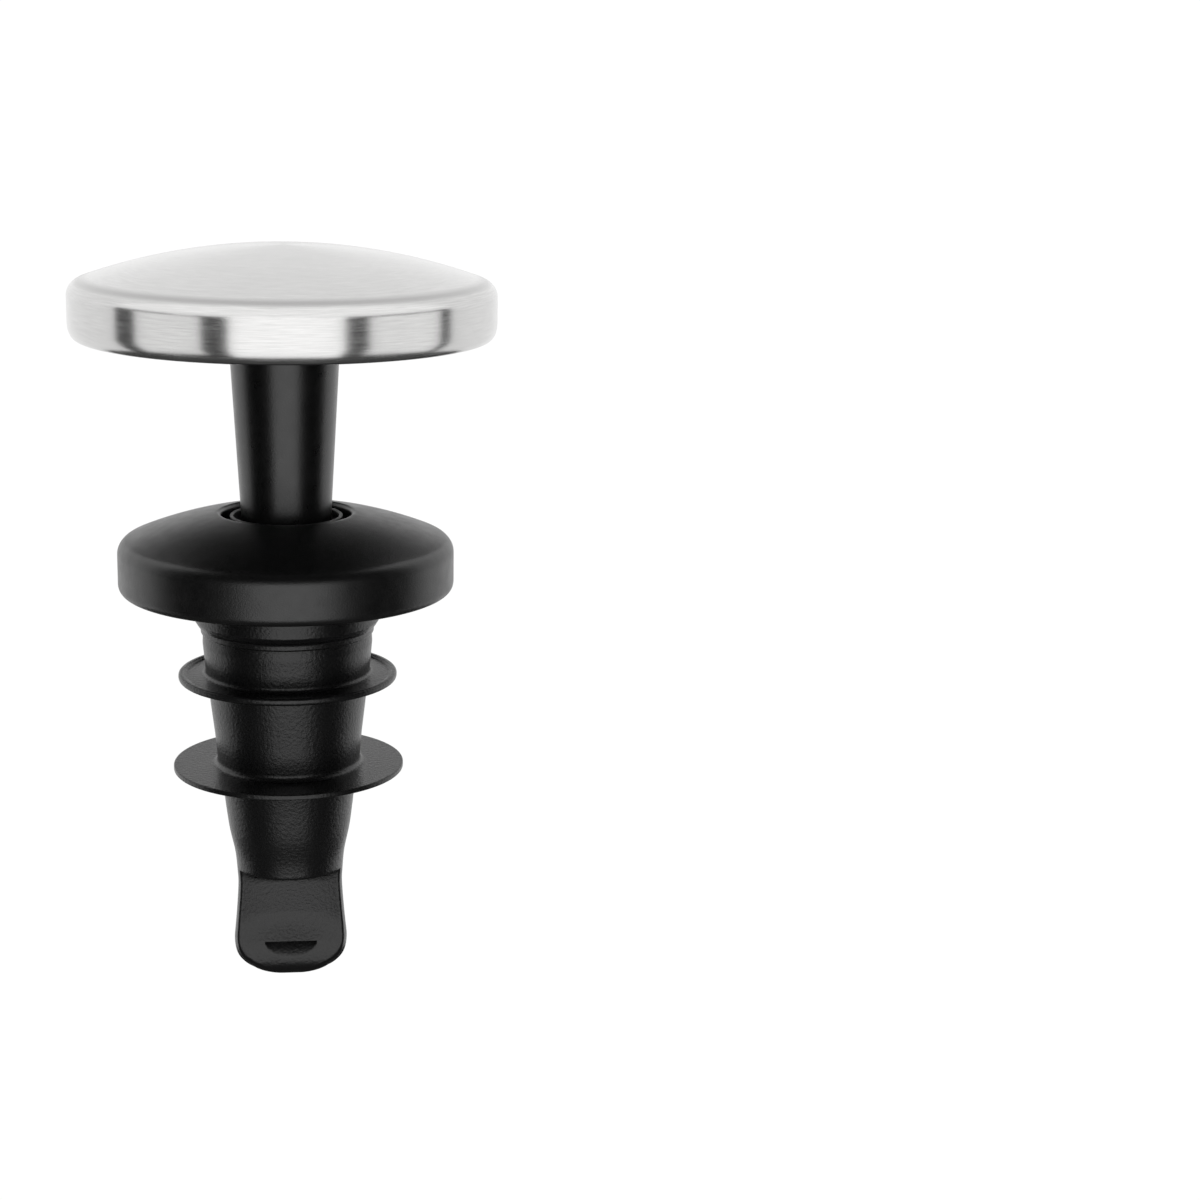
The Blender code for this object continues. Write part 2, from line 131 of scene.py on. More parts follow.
def rounded(corners, closed=False):
    """A profile with its corners rounded: each corner is (radius, height, rounding).

    A short straight stretch is kept at each side of a rounding, so that flat faces
    stay flat when they are shaded smooth.
    """
    points = []
    count = len(corners)
    for index, corner in enumerate(corners):
        here = np.array(corner[:2])
        size = corner[2] if len(corner) > 2 else 0.0
        at_end = not closed and index in (0, count - 1)
        if size == 0.0 or at_end:
            points.append(tuple(here))
            continue
        before = np.array(corners[index - 1][:2]) - here
        after = np.array(corners[(index + 1) % count][:2]) - here
        room_before, room_after = np.linalg.norm(before), np.linalg.norm(after)
        before, after = before / room_before, after / room_after
        half = 0.5 * math.acos(float(np.clip(before @ after, -1.0, 1.0)))
        cut = min(size / math.tan(half), 0.46 * room_before, 0.46 * room_after)
        size = cut * math.tan(half)
        middle = before + after
        centre = here + middle / np.linalg.norm(middle) * size / math.sin(half)
        first, last = here + before * cut - centre, here + after * cut - centre
        turn = math.atan2(first[0] * last[1] - first[1] * last[0], float(first @ last))
        steps = max(2, math.ceil(abs(turn) / math.radians(14.0)))
        hold = 0.12 * cut
        points.append(tuple(here + before * (cut + hold)))
        for step in range(steps + 1):
            angle = turn * step / steps
            c, s = math.cos(angle), math.sin(angle)
            points.append((centre[0] + c * first[0] - s * first[1],
                           centre[1] + s * first[0] + c * first[1]))
        points.append(tuple(here + after * (cut + hold)))
    return points


def spline(points, per_span=10):
    """A smooth curve through a few outline points (Catmull-Rom)."""
    path = [np.array(point, float) for point in points]
    path = [2 * path[0] - path[1], *path, 2 * path[-1] - path[-2]]
    result = []
    for a, b, c, d in zip(path, path[1:], path[2:], path[3:]):
        for t in np.arange(per_span) / per_span:
            result.append(0.5 * (2 * b + (c - a) * t + (2 * a - 5 * b + 4 * c - d) * t ** 2
                                 + (3 * b - a - 3 * c + d) * t ** 3))
    result.append(path[-2])
    return [tuple(point) for point in result]


# ------------------------------------------------------------------ meshes

def grid_mesh(name, rings, closed=False):
    """A surface through rings of points; a ring of one point is a pole."""
    vertices = []
    starts = []
    for ring in rings:
        starts.append(len(vertices))
        vertices.extend(ring)
    faces = []
    pairs = list(zip(range(len(rings) - 1), range(1, len(rings))))
    if closed:
        pairs.append((len(rings) - 1, 0))
    for upper, lower in pairs:
        count_up, count_low = len(rings[upper]), len(rings[lower])
        up, low = starts[upper], starts[lower]
        for index in range(max(count_up, count_low)):
            following = (index + 1) % max(count_up, count_low)
            if count_up == 1:
                faces.append((up, low + index, low + following))
            elif count_low == 1:
                faces.append((up + index, low, up + following))
            else:
                faces.append((up + index, low + index, low + following, up + following))
    mesh = bpy.data.meshes.new(name)
    mesh.from_pydata([tuple(MM * c for c in v) for v in vertices], [], faces)
    mesh.update()
    mesh.shade_smooth()
    obj = bpy.data.objects.new(name, mesh)
    bpy.context.scene.collection.objects.link(obj)
    return obj


def lathe(name, profile, closed=True, segments=MEDIUM):
    """Revolve a profile that runs down its outer side; an open one ends on the axis."""
    rings = []
    angles = np.arange(segments) * math.tau / segments
    for radius, height in profile:
        if radius < 1e-6:
            rings.append([(0.0, 0.0, height)])
        else:
            rings.append([(radius * math.cos(a), radius * math.sin(a), height) for a in angles])
    return grid_mesh(name, rings, closed)


def apply_modifiers(obj):
    """Replace an object's mesh by its evaluated one."""
    depsgraph = bpy.context.evaluated_depsgraph_get()
    mesh = bpy.data.meshes.new_from_object(obj.evaluated_get(depsgraph))
    obj.modifiers.clear()
    obj.data = mesh


def boolean(obj, other, operation):
    """Cut or join obj with another object, which is then removed."""
    modifier = obj.modifiers.new(operation, "BOOLEAN")
    modifier.object = other
    modifier.operation = operation
    modifier.solver = "MANIFOLD"
    apply_modifiers(obj)
    bpy.data.objects.remove(other, do_unlink=True)


def box_solid(name, size, centre, turn=0.0):
    """A box for cutting or joining, turned about Z through the origin, in millimetres."""
    mesh = bpy.data.meshes.new(name)
    shape = bmesh.new()
    bmesh.ops.create_cube(shape, size=MM)
    bmesh.ops.scale(shape, vec=size, verts=shape.verts)
    bmesh.ops.translate(shape, vec=[MM * c for c in centre], verts=shape.verts)
    bmesh.ops.rotate(shape, matrix=Matrix.Rotation(turn, 3, "Z"), verts=shape.verts)
    shape.to_mesh(mesh)
    shape.free()
    obj = bpy.data.objects.new(name, mesh)
    bpy.context.scene.collection.objects.link(obj)
    return obj


def crease(obj, degrees=40.0):
    """Smooth shading with sharp edges where faces meet at more than an angle."""
    obj.data.shade_smooth()
    obj.data.set_sharp_from_angle(angle=math.radians(degrees))


# ------------------------------------------------------------------ materials

class Nodes:
    """Builds a material's node tree."""

    def __init__(self, name):
        self.material = bpy.data.materials.new(name)
        self.material.use_nodes = True
        self.tree = self.material.node_tree
        self.shader = self.tree.nodes["Principled BSDF"]

    def add(self, kind, **values):
        """Add a node; keyword names are properties, or inputs where they match one."""
        node = self.tree.nodes.new(kind)
        for key, value in values.items():
            if hasattr(node, key):
                setattr(node, key, value)
            else:
                node.inputs[key.replace("_", " ")].default_value = value
        return node

    def link(self, source, target):
        """Join an output socket to an input socket."""
        self.tree.links.new(source, target)

    def set(self, **values):
        """Set the shader's own sockets."""
        for key, value in values.items():
            self.shader.inputs[key.replace("_", " ")].default_value = value

    def noise(self, vector, scale, detail=3.0, roughness=0.55):
        """A noise texture's value on a coordinate socket."""
        node = self.add("ShaderNodeTexNoise", Scale=scale, Detail=detail, Roughness=roughness)
        self.link(vector, node.inputs["Vector"])
        return node.outputs["Fac"]

    def spread(self, value, low, high, start=0.3, end=0.7):
        """Map a value from start..end to low..high."""
        node = self.add("ShaderNodeMapRange")
        node.inputs["From Min"].default_value = start
        node.inputs["From Max"].default_value = end
        node.inputs["To Min"].default_value = low
        node.inputs["To Max"].default_value = high
        self.link(value, node.inputs["Value"])
        return node.outputs["Result"]

    def math(self, operation, first, second=None):
        """A math node on sockets or numbers."""
        node = self.add("ShaderNodeMath", operation=operation)
        for socket, value in zip(node.inputs, (first, second)):
            if value is None:
                continue
            if isinstance(value, (int, float)):
                socket.default_value = value
            else:
                self.link(value, socket)
        return node.outputs["Value"]

    def bump(self, height, distance, strength=1.0, normal=None):
        """A bump on the surface; distance is in metres."""
        node = self.add("ShaderNodeBump", Strength=strength, Distance=distance)
        self.link(height, node.inputs["Height"])
        if normal is not None:
            self.link(normal, node.inputs["Normal"])
        return node.outputs["Normal"]

    def colour_between(self, value, first, second):
        """A colour that runs from first to second with a value."""
        node = self.add("ShaderNodeMix", data_type="RGBA", clamp_factor=False)
        colour_inputs = [s for s in node.inputs if s.type == "RGBA"]
        colour_inputs[0].default_value = (*first, 1.0)
        colour_inputs[1].default_value = (*second, 1.0)
        self.link(value, node.inputs[0])
        return [s for s in node.outputs if s.type == "RGBA"][0]


def moulded_plastic(name, colour, roughness, grain, depth):
    """Satin moulded plastic with a fine spark-eroded grain; grain is in metres."""
    nodes = Nodes(name)
    place = nodes.add("ShaderNodeTexCoord").outputs["Object"]
    fine = nodes.noise(place, 1.0 / grain, 3.0)
    broad = nodes.noise(place, 0.12 / grain, 2.0)
    nodes.link(nodes.spread(broad, roughness - 0.03, roughness + 0.03), nodes.shader.inputs["Roughness"])
    tint = nodes.colour_between(broad, [0.85 * c for c in colour], [1.15 * c for c in colour])
    nodes.link(tint, nodes.shader.inputs["Base Color"])
    nodes.link(nodes.bump(fine, depth), nodes.shader.inputs["Normal"])
    nodes.shader.inputs["Specular IOR Level"].default_value = 0.65
    return nodes.material


def grained_rubber(name, colour, roughness):
    """Satin rubber with a leathery grain of soft bumps and finer pits."""
    nodes = Nodes(name)
    place = nodes.add("ShaderNodeTexCoord").outputs["Object"]
    leather = nodes.noise(place, 1.0 / (0.34 * MM), 2.0, 0.5)
    pits = nodes.noise(place, 1.0 / (0.15 * MM), 2.0, 0.6)
    broad = nodes.noise(place, 1.0 / (4.0 * MM), 2.0)
    nodes.link(nodes.spread(pits, roughness - 0.05, roughness + 0.05), nodes.shader.inputs["Roughness"])
    tint = nodes.colour_between(broad, [0.8 * c for c in colour], [1.2 * c for c in colour])
    nodes.link(tint, nodes.shader.inputs["Base Color"])
    base = nodes.bump(leather, 0.042 * MM)
    nodes.link(nodes.bump(pits, 0.016 * MM, normal=base), nodes.shader.inputs["Normal"])
    return nodes.material


def brushed_steel(name):
    """Stainless steel with fine circular brush lines about Z, and painted shade along the corner between
    dome and rim.
    """
    nodes = Nodes(name)
    place = nodes.add("ShaderNodeTexCoord").outputs["Object"]
    split = nodes.add("ShaderNodeSeparateXYZ")
    nodes.link(place, split.inputs["Vector"])
    x, y, z = (split.outputs[axis] for axis in "XYZ")
    distance = nodes.math("SQRT", nodes.math("ADD", nodes.math("MULTIPLY", x, x),
                                             nodes.math("MULTIPLY", y, y)))
    angle = nodes.math("ARCTAN2", y, x)
    lines = nodes.add("ShaderNodeCombineXYZ")
    line_pitch = 0.13 * MM
    breaks_per_radian = 7.0
    nodes.link(nodes.math("MULTIPLY", distance, 1.0 / line_pitch), lines.inputs["X"])
    nodes.link(nodes.math("MULTIPLY", z, 1.0 / line_pitch), lines.inputs["Y"])
    nodes.link(nodes.math("MULTIPLY", angle, breaks_per_radian), lines.inputs["Z"])
    scratch = nodes.noise(lines.outputs["Vector"], 1.0, 4.0, 0.65)
    cloud = nodes.noise(place, 1.0 / (5.0 * MM), 2.0)
    nodes.set(Metallic=1.0, Anisotropic=0.7, Anisotropic_Rotation=0.25)
    tangent = nodes.add("ShaderNodeTangent", direction_type="RADIAL", axis="Z")
    nodes.link(tangent.outputs["Tangent"], nodes.shader.inputs["Tangent"])
    # painted shade: the base colour is darkened along the corner between dome and rim, standing in for the
    # dark reflection there, and the streaks fade out there
    from_corner = nodes.math("ABSOLUTE", nodes.math("SUBTRACT", z, CAP_CORNER_Z * MM))
    near, away = 0.05 * MM, 0.35 * MM
    streak = nodes.spread(scratch, 0.0, 1.0, 0.25, 0.75)
    brushed = nodes.math("MULTIPLY", streak, nodes.spread(from_corner, 0.0, 1.0, near, away))
    # painted shade: how far the base colour darkens near the dome–rim corner
    painted_corner_shade = nodes.spread(from_corner, -0.8, 0.0, near, away)
    dark, light = (0.53, 0.527, 0.523), (0.68, 0.677, 0.672)
    # the base colour carries the brush streaks and the painted corner shade
    tint = nodes.colour_between(nodes.math("ADD", brushed, painted_corner_shade), dark, light)
    nodes.link(tint, nodes.shader.inputs["Base Color"])
    rough = nodes.math("ADD", nodes.spread(scratch, 0.19, 0.26), nodes.spread(cloud, -0.01, 0.02))
    nodes.link(rough, nodes.shader.inputs["Roughness"])
    nodes.link(nodes.bump(scratch, 0.0007 * MM), nodes.shader.inputs["Normal"])
    return nodes.material


def machined_steel(name):
    """Plain turned steel of the hidden fasteners."""
    nodes = Nodes(name)
    place = nodes.add("ShaderNodeTexCoord").outputs["Object"]
    marks = nodes.noise(place, 1.0 / (0.2 * MM), 3.0)
    nodes.set(Metallic=1.0)
    tint = nodes.colour_between(marks, (0.5, 0.5, 0.5), (0.66, 0.66, 0.66))
    nodes.link(tint, nodes.shader.inputs["Base Color"])
    nodes.link(nodes.spread(marks, 0.22, 0.34), nodes.shader.inputs["Roughness"])
    nodes.link(nodes.bump(marks, 0.003 * MM), nodes.shader.inputs["Normal"])
    return nodes.material


STEEL = brushed_steel("brushed_steel_look")
FASTENER = machined_steel("fastener_steel_look")
COLLAR_BLACK = moulded_plastic("collar_plastic_look", (0.003, 0.003, 0.0032), 0.35, 0.16 * MM, 0.020 * MM)
STEM_BLACK = moulded_plastic("stem_plastic_look", (0.003, 0.003, 0.0032), 0.30, 0.16 * MM, 0.014 * MM)
INNER_BLACK = moulded_plastic("inner_plastic_look", (0.02, 0.02, 0.021), 0.45, 0.2 * MM, 0.006 * MM)
RUBBER = grained_rubber("plug_rubber_look", (0.0035, 0.0035, 0.0038), 0.33)
SEAL = moulded_plastic("seal_rubber_look", (0.018, 0.018, 0.018), 0.48, 0.1 * MM, 0.006 * MM)


def piece(obj, material, body, node):
    """Give a finished mesh its material and body, and hide the CAD node it stands for."""
    obj.data.materials.clear()
    obj.data.materials.append(material)
    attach(obj, body)
    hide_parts(node)


# ------------------------------------------------------------------ stopper

def make_cap():
    """Brushed dome with its rolled hem, and the black core under it."""
    radius, bottom, apex = reach("cap_shell")
    profile = dome(radius, apex, CAP_DOME_RADIUS, CAP_SHOULDER, 0.0, 48, 20)
    profile += [(radius, bottom + CAP_HEM_HEIGHT + 0.6)]
    profile += arc((radius - CAP_HEM_WIDTH, bottom + CAP_HEM_HEIGHT), (CAP_HEM_WIDTH, CAP_HEM_HEIGHT),
                   0.0, -90.0, 16)
    hem_top = bottom + CAP_WALL
    hem = [(radius - CAP_HEM_WIDTH - 0.1, bottom), (20.2, bottom, 0.2), (20.2, hem_top, 0.2)]
    hem += [(radius - CAP_WALL - 0.3, hem_top), (radius - CAP_WALL, hem_top + 0.4)]
    profile += rounded(hem)
    profile += reversed(dome(radius - CAP_WALL, apex - CAP_WALL, CAP_DOME_RADIUS - CAP_WALL,
                             CAP_SHOULDER - CAP_WALL, 0.0, 16, 6))
    shell = lathe("steel_cap", profile, closed=False, segments=FINE)
    crease(shell, 50.0)
    piece(shell, STEEL, "stopper", "cap_shell")

    core_radius, foot, _ = reach("cap_core")
    stem_radius, _, stem_top = reach("stem")
    inset = radius - core_radius
    screw_pocket = 4.2
    pocket_floor = 32.0
    screw_hole = 1.6
    ceiling = 29.7
    top = dome(core_radius, apex - inset, CAP_DOME_RADIUS - inset, CAP_SHOULDER - inset,
               screw_pocket, 12, 6)
    socket = stem_radius + 0.15
    low = [(core_radius, foot + 1.5), (core_radius, foot, 0.5), (18.3, foot, 0.5)]
    low += [(18.0, ceiling, 0.8), (8.2, ceiling, 0.8), (7.9, foot, 0.4), (socket, foot, 0.25)]
    low += [(socket, stem_top + 0.3), (screw_hole, stem_top + 0.3), (screw_hole, pocket_floor)]
    low += [(screw_pocket, pocket_floor)]
    core = lathe("cap_underside", top + rounded(low), segments=FINE)
    crease(core)
    piece(core, COLLAR_BLACK, "stopper", "cap_core")


def make_stem():
    """Tapered stem, smooth, with its guide rod."""
    radius, rod_end, top = reach("stem")
    rod = 1.8
    cap_hole, cap_hole_floor = 1.5, 21.5
    stop_hole, stop_hole_depth = 1.0, 5.5
    profile = [(0.0, cap_hole_floor), (cap_hole, cap_hole_floor), (cap_hole, top)]
    profile += [(radius, top, 0.3), (4.55, 5.2, 0.7), (2.6, 4.95, 0.4)]
    profile += [(rod, 4.3, 0.4), (rod, rod_end, 0.2), (stop_hole, rod_end)]
    profile += [(stop_hole, rod_end + stop_hole_depth), (0.0, rod_end + stop_hole_depth)]
    stem = lathe("tapered_stem", rounded(profile), closed=False, segments=FINE)
    crease(stem)
    piece(stem, STEM_BLACK, "stopper", "stem")


# ------------------------------------------------------------------ collar

def make_collar():
    """Domed collar shell, its base plate and the soft ring in its mouth."""
    radius, _, _ = reach("collar_shell")
    edge_centre = COLLAR_HOLE + COLLAR_EDGE
    edge_z = dome_height(edge_centre, COLLAR_APEX, COLLAR_DOME_RADIUS) - COLLAR_EDGE
    wall = 1.3
    throat = 9.2
    foot = 3.2
    step = 6.0
    profile = dome(radius, COLLAR_APEX, COLLAR_DOME_RADIUS, COLLAR_SHOULDER, edge_centre, 32, 16)
    profile += [(radius, 1.3)]
    profile += arc((radius - 0.7, 0.9), (0.7, 0.9), 0.0, -90.0, 12)
    profile += rounded([(radius - 0.8, 0.0), (radius - wall, 0.0, 0.12), (radius - wall, 2.0)])
    profile += reversed(dome(radius - wall, COLLAR_APEX - wall, COLLAR_DOME_RADIUS - wall, 0.5,
                             throat, 10, 4))
    profile += rounded([(throat, foot + 2.0), (throat, foot, 0.3), (7.5, foot, 0.2), (7.5, step, 0.1),
                        (COLLAR_HOLE, step, 0.15), (COLLAR_HOLE, edge_z - 0.1)])
    profile += arc((edge_centre, edge_z), (COLLAR_EDGE, COLLAR_EDGE), 180.0, 100.0, 8)
    shell = lathe("collar_cover", profile, segments=FINE)
    crease(shell)
    piece(shell, COLLAR_BLACK, "spout", "collar_shell")

    outer, bottom, top = reach("collar_base")
    outer += 0.15
    hole = 6.95
    seat_inner, recess = 10.0, 0.25
    thickness = 1.5
    groove_inner, groove_outer, groove_floor = 8.2, 9.8, 0.85
    upstand = outer - 1.15
    plate = [(outer, top, 0.2), (outer, bottom, 0.15), (seat_inner, bottom, 0.1)]
    plate += [(seat_inner, recess, 0.05), (hole, recess, 0.1), (hole, thickness, 0.1)]
    plate += [(groove_inner, thickness, 0.1), (groove_inner, groove_floor)]
    plate += [(groove_outer, groove_floor), (groove_outer, thickness, 0.1)]
    plate += [(upstand, thickness, 0.2), (upstand, top, 0.2)]
    base = lathe("collar_seat", rounded(plate, closed=True), segments=FINE)
    crease(base)
    piece(base, COLLAR_BLACK, "spout", "collar_base")

    seal_outer, seal_bottom, seal_top = reach("lip_seal")
    seal_top += 0.4  # the lip stands a little higher than the CAD's
    ring = [(LIP_OUTER, seal_top, 0.14), (LIP_OUTER, 5.7, 0.1), (seal_outer, 5.4, 0.1)]
    ring += [(seal_outer, seal_bottom, 0.15), (5.6, seal_bottom, 0.15), (LIP_INNER + 0.03, seal_top, 0.14)]
    seal = lathe("mouth_lip", rounded(ring, closed=True), segments=FINE)
    crease(seal, 60.0)
    piece(seal, SEAL, "spout", "lip_seal")


# ------------------------------------------------------------------ rubber plug

LOW_OUTLINE = spline([(6.80, -23.6), (6.43, -26.3), (5.87, -29.0), (5.65, -31.3), (5.59, -32.9),
                      (5.80, -36.0), (TOE_RADIUS, TOE_WIDEST)])
LOW_RADII, LOW_HEIGHTS = np.array(LOW_OUTLINE[::-1]).T


def plug_radius(height):
    """Radius of the plug's outline below its fins."""
    if height > TOE_WIDEST:
        return float(np.interp(height, LOW_HEIGHTS, LOW_RADII))
    bottom = reach("sleeve")[1]
    drop = min(1.0, (TOE_WIDEST - height) / (TOE_WIDEST - bottom))
    return TOE_RADIUS * (1.0 - drop ** TOE_POWER) ** (1.0 / TOE_POWER)


def face_depth(height):
    """How far in front of the axis the edge of the tongue's face lies."""
    if height > CURL_END:
        share = float(np.clip((CURL_START - height) / (CURL_START - CURL_END), 0.0, 1.0))
        return FACE_DEPTH + (LIP_DEPTH - FACE_DEPTH) * share * share * (3.0 - 2.0 * share)
    bottom = reach("sleeve")[1]
    drop = min(1.0, (CURL_END - height) / (CURL_END - bottom))
    return LIP_DEPTH * (1.0 - drop ** LIP_POWER) ** (1.0 / LIP_POWER)


def notch_depth(across, height):
    """Depth of the thumbnail-shaped notch under the face's lower edge."""
    inside = 1.0 - (across / NOTCH_HALF_WIDTH) ** 2
    if inside <= 0.0 or height > NOTCH_TOP:
        return 0.0
    tall = NOTCH_HEIGHT * math.sqrt(inside)
    share = min(1.0, (NOTCH_TOP - height) / max(tall, 1e-6))
    return NOTCH_DEPTH * inside ** 0.5 * (1.0 - share) ** NOTCH_FADE


def tongue_section(height, angle):
    """Point of the tongue's D-shaped section for an angle measured from the front."""
    depth = face_depth(height)
    radius = plug_radius(height)
    tucked = plug_radius(height - TOE_TUCK * depth)
    rolled = float(np.clip((ROLL_START - height) / (ROLL_START - ROLL_END), 0.0, 1.0)) ** 2
    edge = math.sqrt(max(radius ** 2 - depth ** 2, 0.25 * radius ** 2))
    corner = min(FACE_CORNER + ROLL_CORNER * rolled, 0.9 * depth, 0.6 * edge)
    flat, bend, side = edge - corner, 0.5 * math.pi * corner, max(depth - corner, 0.0)
    run = (flat + bend + side) * abs(angle) / (0.5 * math.pi)
    if run < flat:
        across = run
        hollow = FACE_HOLLOW * float(np.clip((height - HOLLOW_END) / HOLLOW_FADE, 0.0, 1.0))
        y = -depth + hollow * (1.0 - (across / flat) ** 2) + notch_depth(across, height)
    elif run < flat + bend:
        turn = (run - flat) / corner
        across = flat + corner * math.sin(turn)
        y = -depth + corner * (1.0 - math.cos(turn))
    else:
        y = -depth + corner + (run - flat - bend)
        across = radius - (radius - edge) * (y / min(corner - depth, -1e-6)) ** 2
    # towards the front the toe is tucked in, so that its lower corners are round
    ahead = float(np.clip(-y / max(depth, 1e-6), 0.0, 1.0))
    across *= 1.0 - ahead ** 2 * (1.0 - tucked / max(radius, 1e-6))
    return math.copysign(across, angle), y


def tongue_rows():
    """Rows of (front height, back height, share of the way from round to D-section)."""
    wide = plug_radius(CUT_Z) - FACE_DEPTH + FACE_HOLLOW
    rows = []
    for angle in np.radians(np.linspace(10.0, 90.0, 7)):
        rows.append((CUT_Z + CUT_EDGE * (1.0 - math.sin(angle)), CUT_EDGE * (1.0 - math.cos(angle)) / wide))
    start = CUT_EDGE / wide
    end = 1.0 - CUT_FILLET / wide
    rows += [(CUT_Z, start + (end - start) * share) for share in np.linspace(0.03, 1.0, 9)]
    for angle in np.radians(np.linspace(9.0, 90.0, 10)):
        rows.append((CUT_Z - CUT_FILLET * (1.0 - math.cos(angle)),
                     1.0 - CUT_FILLET * (1.0 - math.sin(angle)) / wide))
    top, low = CUT_Z + CUT_EDGE, CUT_Z - CUT_FILLET
    back = np.linspace(top, low, len(rows) + 1)[1:]
    rows = [(front, float(rear), share) for (front, share), rear in zip(rows, back)]
    bottom = reach("sleeve")[1]
    coarse_step, fine_step = 0.16, 0.08
    turn_in = TOE_WIDEST - 2.6
    plain = list(np.arange(low - 0.12, NOTCH_TOP, -coarse_step)) + [NOTCH_TOP + 0.02, NOTCH_TOP - 0.02]
    plain += list(np.arange(NOTCH_TOP - 0.1, turn_in, -fine_step))
    start = (TOE_WIDEST - plain[-1]) / (TOE_WIDEST - bottom)
    lean = np.linspace(math.asin(start), 0.5 * math.pi, 26)[1:-1]
    plain += [TOE_WIDEST - (TOE_WIDEST - bottom) * math.sin(a) for a in lean]
    return rows + [(height, height, 1.0) for height in plain]


def plug_profile():
    """Outline of the plug from its top down to the cut: shoulder, body and fins."""
    top = reach("sleeve")[2] + 0.1
    upper_fin, upper_z = 11.53, -9.4
    lower_fin, lower_z = reach("sleeve")[0], -19.35
    corners = [(9.72, top), (9.72, -3.2, 0.3), (9.42, -3.7, 0.4), (9.14, -4.0, 0.4)]
    corners += [(9.1, -4.55, 0.12), (8.84, -4.66, 0.1), (8.9, -4.95, 0.2), (8.94, -5.7, 0.6)]
    corners += [(8.72, -8.1, 0.0), (8.62, upper_z + 0.28, 0.55), (10.75, upper_z + 0.12, 0.5)]
    corners += [(upper_fin - 0.6, upper_z + 0.4, 0.3), (upper_fin, upper_z + 0.38, 0.36)]
    corners += [(upper_fin, upper_z - 0.4, 0.36), (10.4, upper_z - 0.42, 0.3)]
    corners += [(8.48, upper_z - 0.32, 0.6), (8.2, -12.4), (7.8, -15.7)]
    corners += [(7.5, lower_z + 0.28, 0.6), (lower_fin, lower_z + 0.28, 0.13)]
    corners += [(lower_fin, lower_z - 0.28, 0.13), (7.42, lower_z - 0.3, 0.6), (6.86, -23.0)]
    shape = rounded(corners)
    shape += [point for point in LOW_OUTLINE if CUT_Z + CUT_EDGE < point[1]]
    shape.append((plug_radius(CUT_Z + CUT_EDGE), CUT_Z + CUT_EDGE))
    return shape


def cut_bore(plug):
    """Open the plug for the tube and its nut, down to a short pocket under the tube."""
    nut_room, nut_floor = 8.65, -2.6
    tube_end, pocket_floor = -29.6, -30.4
    profile = [(0.0, 1.0), (nut_room, 1.0), (nut_room, nut_floor), (6.9, nut_floor), (6.9, -12.0)]
    profile += [(4.9, -27.0), (4.9, tube_end), (INTAKE_RADIUS, tube_end)]
    profile += [(INTAKE_RADIUS, pocket_floor), (0.0, pocket_floor)]
    boolean(plug, lathe("bore", profile, closed=False, segments=MEDIUM), "DIFFERENCE")


def cut_intake(plug):
    """Open the half-round intake from the cut face up into the bore."""
    chord = -0.2
    edge = math.asin(-chord / INTAKE_RADIUS)
    outline = [(INTAKE_RADIUS * math.cos(a), -INTAKE_RADIUS * math.sin(a))
               for a in np.linspace(edge, math.pi - edge, 49)]
    rings = [[(x, y, height) for x, y in outline] for height in (CUT_Z - 1.1, -29.0)]
    cutter = grid_mesh("intake", rings)
    shape = bmesh.new()
    shape.from_mesh(cutter.data)
    bmesh.ops.holes_fill(shape, edges=shape.edges)
    bmesh.ops.recalc_face_normals(shape, faces=shape.faces)
    shape.to_mesh(cutter.data)
    shape.free()
    boolean(plug, cutter, "DIFFERENCE")


def make_plug():
    """Rubber plug: turned body and fins, cut away in front to a tongue with a curled toe."""
    angles = np.linspace(-math.pi, math.pi, FINE, endpoint=False)
    rings = [[(0.0, 0.0, plug_profile()[0][1])]]
    for radius, height in plug_profile():
        rings.append([(radius * math.sin(a), -radius * math.cos(a), height) for a in angles])
    for front, back, share in tongue_rows():
        ring = []
        for a in angles:
            ahead = float(np.clip(math.cos(a) / SIDE_BLEND, 0.0, 1.0))
            height = back + (front - back) * ahead
            radius = plug_radius(height)
            x, y = radius * math.sin(a), -radius * math.cos(a)
            if ahead > 0.0:
                face_x, face_y = tongue_section(height, a)
                x += (face_x - x) * share
                y += (face_y - y) * share
            ring.append((x, y, height))
        rings.append(ring)
    bottom = reach("sleeve")[1]
    rings.append([(0.0, 0.0, bottom)])
    plug = grid_mesh("finned_plug", rings)
    cut_bore(plug)
    cut_intake(plug)
    crease(plug, 38.0)
    piece(plug, RUBBER, "spout", "sleeve")


# ------------------------------------------------------------------ inner pieces

